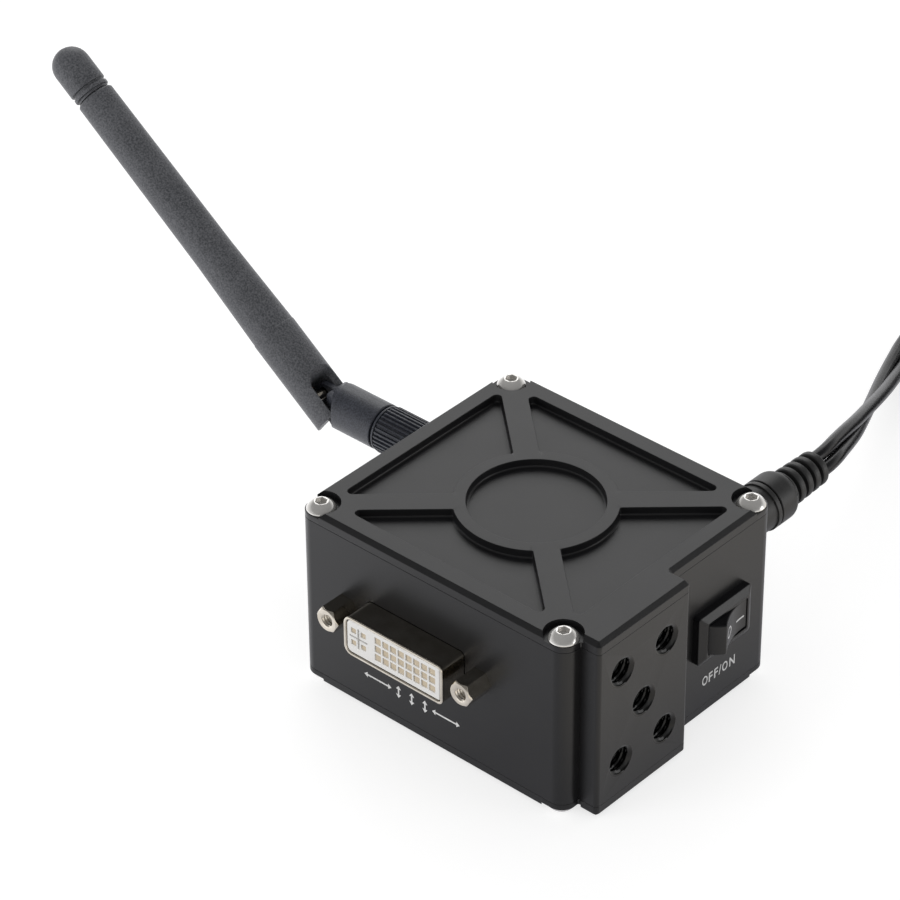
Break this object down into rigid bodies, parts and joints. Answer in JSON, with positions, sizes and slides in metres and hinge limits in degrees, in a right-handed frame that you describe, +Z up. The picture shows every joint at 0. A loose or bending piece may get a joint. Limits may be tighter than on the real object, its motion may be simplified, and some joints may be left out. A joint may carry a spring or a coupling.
{
  "type": "pan and tilt head control box",
  "caption": "Small metal control box with a wireless antenna, a multi-pin output socket, a rocker switch, a block of tapped mounting holes and a power lead.",
  "frame": {"origin": "centre of the bottom cover's flat underside", "axes": "+X out of the wall with the mounting block and the switch, -Y out of the wall with the output socket, +Z up"},
  "size_m": [0.1992, 0.2244, 0.0831],
  "materials": {
    "case_anodised": "satin black anodised",
    "screw_stainless": "polished stainless",
    "connector_nickel": "warm nickel plate",
    "insulator_white": "moulded, satin",
    "contact_brass": "bright",
    "switch_black": "moulded, fine texture",
    "lead_black": "glossy soft jacket",
    "antenna_grey": "fine sandblasted texture",
    "coax_copper": "dull copper",
    "board_green": "solder mask",
    "wire_red": "smooth insulation"
  },
  "bodies": {
    "root": {"case_frame": "case_anodised", "top_cover": "case_anodised", "bottom_cover": "case_anodised", "top_cover_screw_1": "screw_stainless", "top_cover_screw_2": "screw_stainless", "top_cover_screw_3": "screw_stainless", "top_cover_screw_4": "screw_stainless", "bottom_cover_screw_1": "screw_stainless", "bottom_cover_screw_2": "screw_stainless", "bottom_cover_screw_3": "screw_stainless", "bottom_cover_screw_4": "screw_stainless", "mounting_block": "case_anodised", "mounting_block_clamp": "case_anodised", "mounting_block_screw_1": "screw_stainless", "mounting_block_screw_2": "screw_stainless", "output_shell": "connector_nickel", "output_insulator": "insulator_white", "output_contacts": "contact_brass", "output_jackscrew_left": "connector_nickel", "output_jackscrew_right": "connector_nickel", "switch_housing": "switch_black", "switch_terminal_1": "contact_brass", "switch_terminal_2": "contact_brass", "power_socket": "switch_black", "power_socket_pin": "connector_nickel", "power_socket_nut": "connector_nickel", "power_plug_sleeve": "connector_nickel", "power_plug_body": "lead_black", "power_plug_strain_relief": "lead_black", "power_lead": "lead_black", "power_lead_coil": "lead_black", "lead_tie": "lead_black", "supply_plug_body": "lead_black", "supply_plug_barrel": "connector_nickel", "antenna_jack": "contact_brass", "antenna_jack_washer": "connector_nickel", "antenna_jack_nut": "contact_brass", "main_board": "board_green", "board_screw_1": "screw_stainless", "board_screw_2": "screw_stainless", "board_screw_3": "screw_stainless", "board_screw_4": "screw_stainless", "radio_module": "board_green", "radio_shield": "connector_nickel", "processor_chip": "switch_black", "capacitor_1": "switch_black", "capacitor_2": "switch_black", "antenna_pigtail": "lead_black", "power_wire_red": "wire_red", "power_wire_black": "lead_black"},
    "antenna_connector": {"antenna_plug_core": "contact_brass"},
    "antenna_nut": {"antenna_coupling_nut": "antenna_grey"},
    "antenna_swivel": {"antenna_elbow": "antenna_grey", "antenna_hinge_pin": "connector_nickel"},
    "antenna_upper": {"antenna_mast": "antenna_grey", "antenna_tip_cap": "antenna_grey", "antenna_coax": "coax_copper", "antenna_radiator": "coax_copper"},
    "rocker": {"switch_rocker": "switch_black"},
    "contact_arm": {"switch_contact_arm": "contact_brass"}
  },
  "joints": [
    {"name": "antenna_unscrew_slide", "type": "slide", "parent": "root", "child": "antenna_connector", "axis": [-1, 0, 0], "range_m": [0, 0.00212]},
    {"name": "antenna_nut_turn", "type": "hinge", "parent": "antenna_connector", "child": "antenna_nut", "pos_m": [-0.041, 0.0092, 0.03], "axis": [-1, 0, 0], "range_deg": [0, 1080]},
    {"name": "antenna_swivel_turn", "type": "hinge", "parent": "antenna_connector", "child": "antenna_swivel", "pos_m": [-0.05, 0.0092, 0.03], "axis": [-1, 0, 0], "range_deg": [-180, 180]},
    {"name": "antenna_bend", "type": "hinge", "parent": "antenna_swivel", "child": "antenna_upper", "pos_m": [-0.06352, 0.0092, 0.03], "axis": [0, 1, 0], "range_deg": [-36.44, 53.56]},
    {"name": "rocker_tilt", "type": "hinge", "parent": "root", "child": "rocker", "pos_m": [0.0318, 0.0142, 0.02], "axis": [0, 0, 1], "range_deg": [-32, 0]},
    {"name": "contact_arm_tilt", "type": "hinge", "parent": "root", "child": "contact_arm", "pos_m": [0.0265, 0.0142, 0.02], "axis": [0, 0, 1], "range_deg": [0, 16]}
  ],
  "couplings": [
    {"joint": "antenna_nut_turn", "follows": "antenna_unscrew_slide", "rad_per_m": 8904.7},
    {"joint": "contact_arm_tilt", "follows": "rocker_tilt", "ratio": -0.5}
  ]
}
